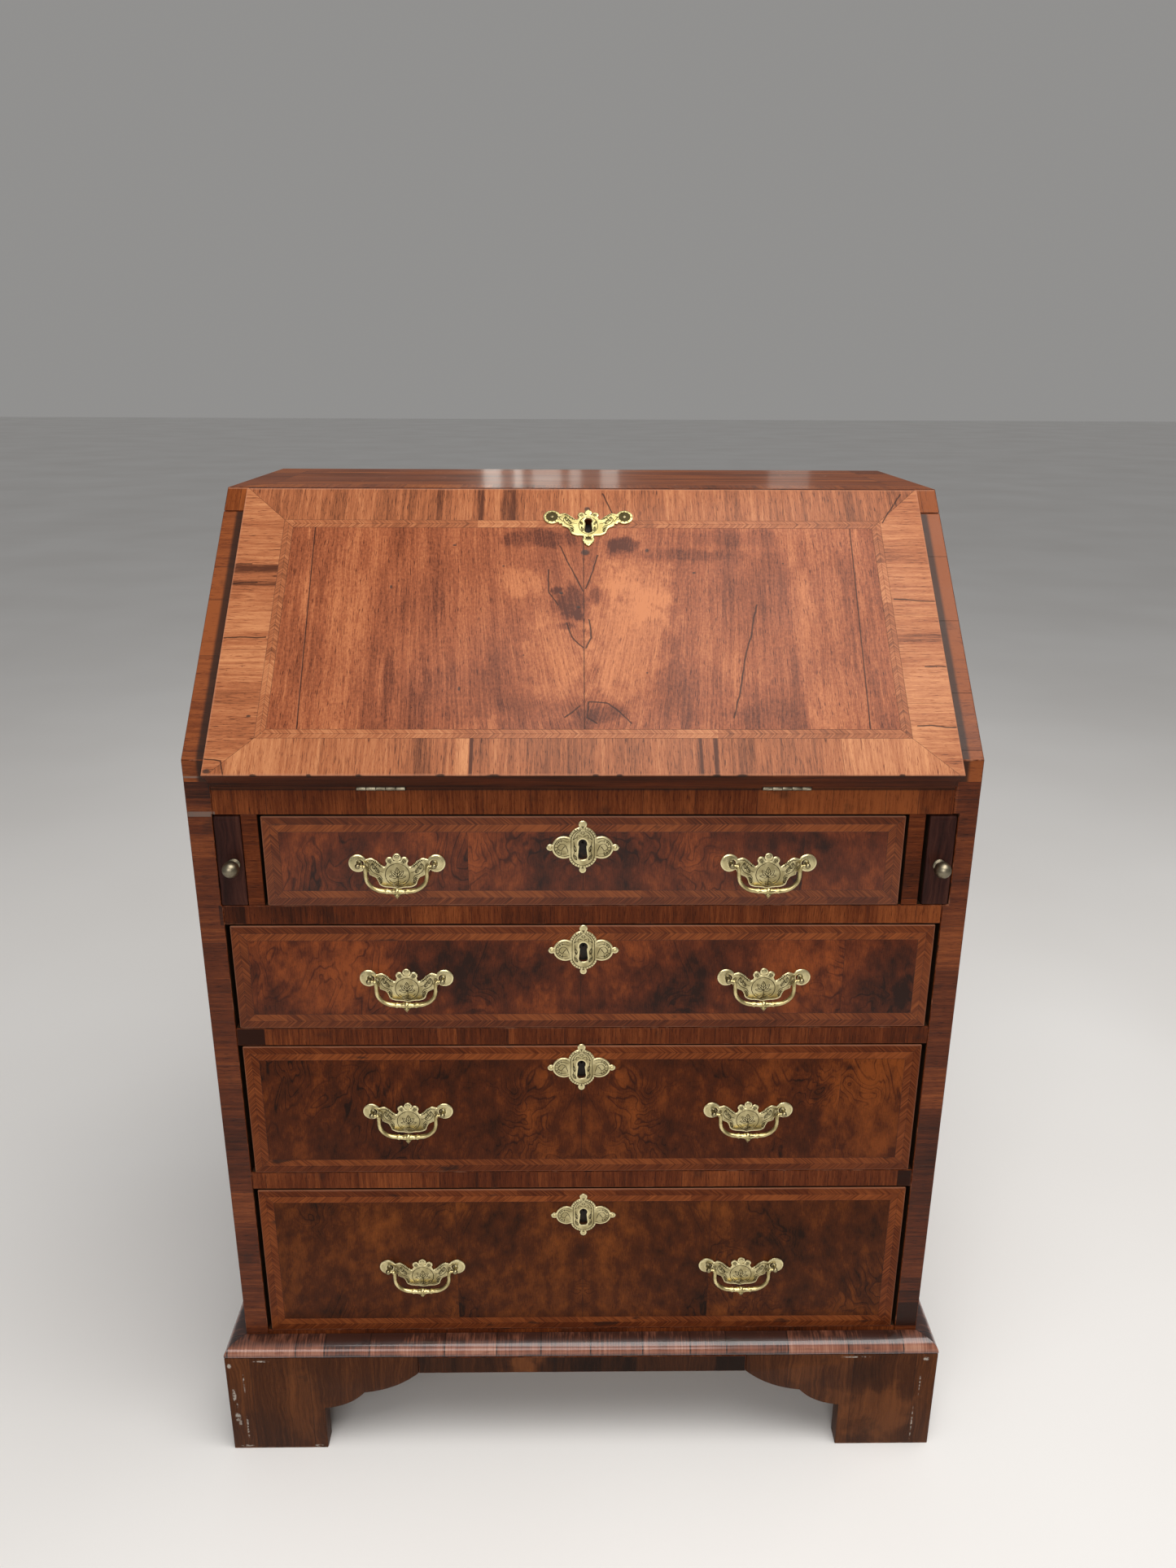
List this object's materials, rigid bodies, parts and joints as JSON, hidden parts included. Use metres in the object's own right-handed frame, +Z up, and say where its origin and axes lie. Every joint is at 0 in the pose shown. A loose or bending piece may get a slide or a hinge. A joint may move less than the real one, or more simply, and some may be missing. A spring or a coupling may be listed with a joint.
{
  "type": "secretary desk",
  "caption": "Slant-front secretary desk with a hinged writing fall on pull-out lopers, graduated drawers with bail handles and bracket feet.",
  "frame": {"origin": "on the floor, under the middle of the whole outline", "axes": "+Z up, the front with the drawers and the fall faces -Y, +X to the right of a person facing the front"},
  "size_m": [0.7814, 0.504, 1.03],
  "materials": {
    "fall_walnut": "waxed, medium orange-brown walnut veneer",
    "drawer_walnut": "waxed, dark red-brown figured walnut veneer",
    "case_walnut": "polished dark brown walnut",
    "crossband_walnut": "polished cross-grained walnut",
    "oak": "dry unpolished oak",
    "pine": "rough dusty pine",
    "brass": "pale polished brass with dark engraved lines",
    "aged_brass": "greyed brass"
  },
  "bodies": {
    "case": {"side_left": "case_walnut", "side_right": "case_walnut", "top_board": "case_walnut", "back_panel": "pine", "bottom_board": "crossband_walnut", "writing_bed": "oak", "fall_rail": "crossband_walnut", "rail_1": "crossband_walnut", "rail_2": "crossband_walnut", "rail_3": "crossband_walnut", "loper_divider_left": "crossband_walnut", "loper_divider_right": "crossband_walnut", "pigeonhole_nest": "oak", "base_moulding_front": "crossband_walnut", "base_moulding_left": "crossband_walnut", "base_moulding_right": "crossband_walnut", "foot_front_left": "case_walnut", "foot_front_right": "case_walnut", "foot_back_left": "case_walnut", "foot_back_right": "case_walnut", "front_apron": "case_walnut", "hinge_left_case_leaf": "aged_brass", "hinge_right_case_leaf": "aged_brass"},
    "fall": {"fall_board": "fall_walnut", "fall_escutcheon": "brass", "hinge_left_fall_leaf": "aged_brass", "hinge_right_fall_leaf": "aged_brass"},
    "loper_left": {"loper_left": "case_walnut", "loper_knob_left": "aged_brass"},
    "loper_right": {"loper_right": "case_walnut", "loper_knob_right": "aged_brass"},
    "drawer_1": {"drawer_1_front": "drawer_walnut", "drawer_1_box": "oak", "drawer_1_escutcheon": "brass", "drawer_1_plate_left": "brass", "drawer_1_plate_right": "brass"},
    "drawer_1_bail_left": {"drawer_1_bail_left": "brass"},
    "drawer_1_bail_right": {"drawer_1_bail_right": "brass"},
    "drawer_2": {"drawer_2_front": "drawer_walnut", "drawer_2_box": "oak", "drawer_2_escutcheon": "brass", "drawer_2_plate_left": "brass", "drawer_2_plate_right": "brass"},
    "drawer_2_bail_left": {"drawer_2_bail_left": "brass"},
    "drawer_2_bail_right": {"drawer_2_bail_right": "brass"},
    "drawer_3": {"drawer_3_front": "drawer_walnut", "drawer_3_box": "oak", "drawer_3_escutcheon": "brass", "drawer_3_plate_left": "brass", "drawer_3_plate_right": "brass"},
    "drawer_3_bail_left": {"drawer_3_bail_left": "brass"},
    "drawer_3_bail_right": {"drawer_3_bail_right": "brass"},
    "drawer_4": {"drawer_4_front": "drawer_walnut", "drawer_4_box": "oak", "drawer_4_escutcheon": "brass", "drawer_4_plate_left": "brass", "drawer_4_plate_right": "brass"},
    "drawer_4_bail_left": {"drawer_4_bail_left": "brass"},
    "drawer_4_bail_right": {"drawer_4_bail_right": "brass"}
  },
  "joints": [
    {"name": "fall_hinge", "type": "hinge", "parent": "case", "child": "fall", "pos_m": [0, -0.2308, 0.7803], "axis": [1, 0, 0], "range_deg": [0, 136.5]},
    {"name": "loper_left_slide", "type": "slide", "parent": "case", "child": "loper_left", "axis": [0, -1, 0], "range_m": [0, 0.25]},
    {"name": "loper_right_slide", "type": "slide", "parent": "case", "child": "loper_right", "axis": [0, -1, 0], "range_m": [0, 0.25]},
    {"name": "drawer_1_slide", "type": "slide", "parent": "case", "child": "drawer_1", "axis": [0, -1, 0], "range_m": [0, 0.33]},
    {"name": "drawer_1_bail_left_swing", "type": "hinge", "parent": "drawer_1", "child": "drawer_1_bail_left", "pos_m": [-0.177, -0.2398, 0.7057], "axis": [-1, 0, 0], "range_deg": [0, 95]},
    {"name": "drawer_1_bail_right_swing", "type": "hinge", "parent": "drawer_1", "child": "drawer_1_bail_right", "pos_m": [0.175, -0.2398, 0.7057], "axis": [-1, 0, 0], "range_deg": [0, 95]},
    {"name": "drawer_2_slide", "type": "slide", "parent": "case", "child": "drawer_2", "axis": [0, -1, 0], "range_m": [0, 0.33]},
    {"name": "drawer_2_bail_left_swing", "type": "hinge", "parent": "drawer_2", "child": "drawer_2_bail_left", "pos_m": [-0.1735, -0.2398, 0.5837], "axis": [-1, 0, 0], "range_deg": [0, 95]},
    {"name": "drawer_2_bail_right_swing", "type": "hinge", "parent": "drawer_2", "child": "drawer_2_bail_right", "pos_m": [0.177, -0.2398, 0.5837], "axis": [-1, 0, 0], "range_deg": [0, 95]},
    {"name": "drawer_3_slide", "type": "slide", "parent": "case", "child": "drawer_3", "axis": [0, -1, 0], "range_m": [0, 0.33]},
    {"name": "drawer_3_bail_left_swing", "type": "hinge", "parent": "drawer_3", "child": "drawer_3_bail_left", "pos_m": [-0.179, -0.2398, 0.4307], "axis": [-1, 0, 0], "range_deg": [0, 95]},
    {"name": "drawer_3_bail_right_swing", "type": "hinge", "parent": "drawer_3", "child": "drawer_3_bail_right", "pos_m": [0.169, -0.2398, 0.4307], "axis": [-1, 0, 0], "range_deg": [0, 95]},
    {"name": "drawer_4_slide", "type": "slide", "parent": "case", "child": "drawer_4", "axis": [0, -1, 0], "range_m": [0, 0.33]},
    {"name": "drawer_4_bail_left_swing", "type": "hinge", "parent": "drawer_4", "child": "drawer_4_bail_left", "pos_m": [-0.1725, -0.2398, 0.2342], "axis": [-1, 0, 0], "range_deg": [0, 95]},
    {"name": "drawer_4_bail_right_swing", "type": "hinge", "parent": "drawer_4", "child": "drawer_4_bail_right", "pos_m": [0.171, -0.2398, 0.2342], "axis": [-1, 0, 0], "range_deg": [0, 95]}
  ]
}
